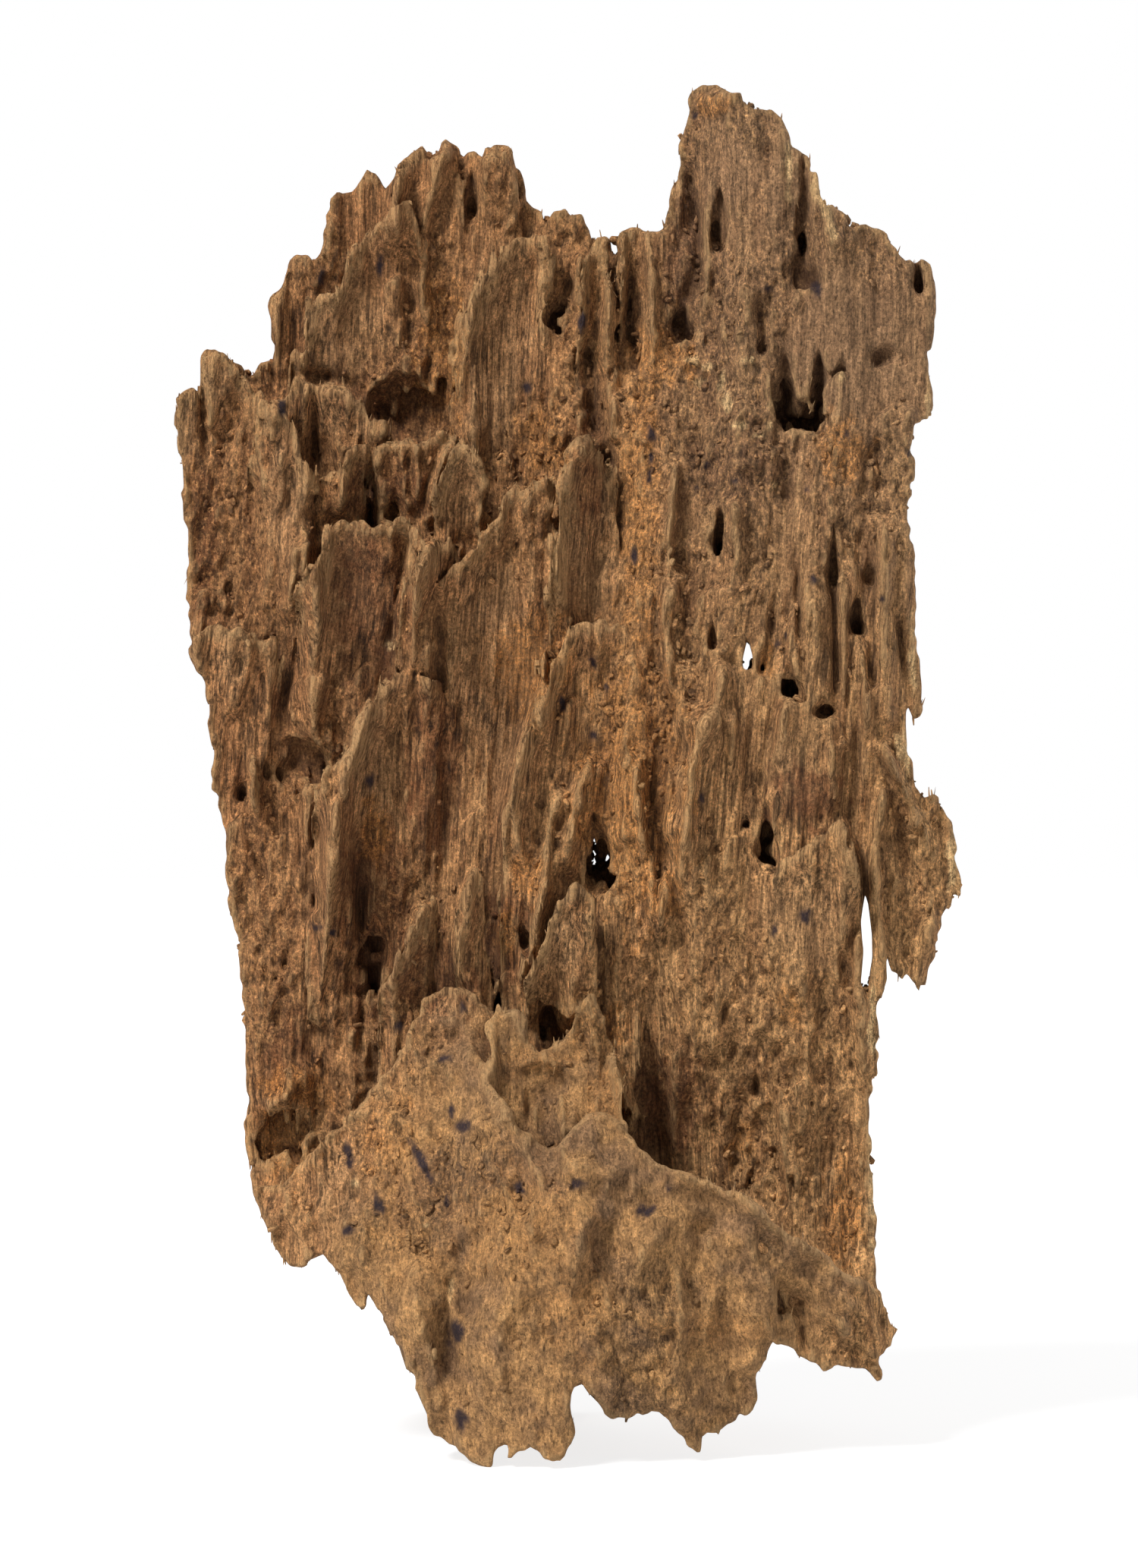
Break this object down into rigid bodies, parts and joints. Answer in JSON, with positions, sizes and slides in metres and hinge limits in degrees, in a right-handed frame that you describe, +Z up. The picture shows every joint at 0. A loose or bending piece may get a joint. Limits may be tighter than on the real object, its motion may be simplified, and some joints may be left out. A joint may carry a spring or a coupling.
{
  "type": "agarwood piece",
  "caption": "Upright slab of decayed, resin-spotted agarwood with flame-shaped ledges on its front and a free-standing outer skin at its foot.",
  "frame": {"origin": "middle of the piece's bounding box, on the surface it stands on", "axes": "+Z up along the grain, -Y towards the viewer of the carved front, +X to that viewer's right"},
  "size_m": [0.1738, 0.0963, 0.2987],
  "materials": {
    "wood": "rough"
  },
  "bodies": {
    "root": {"agarwood": "wood"}
  },
  "joints": []
}
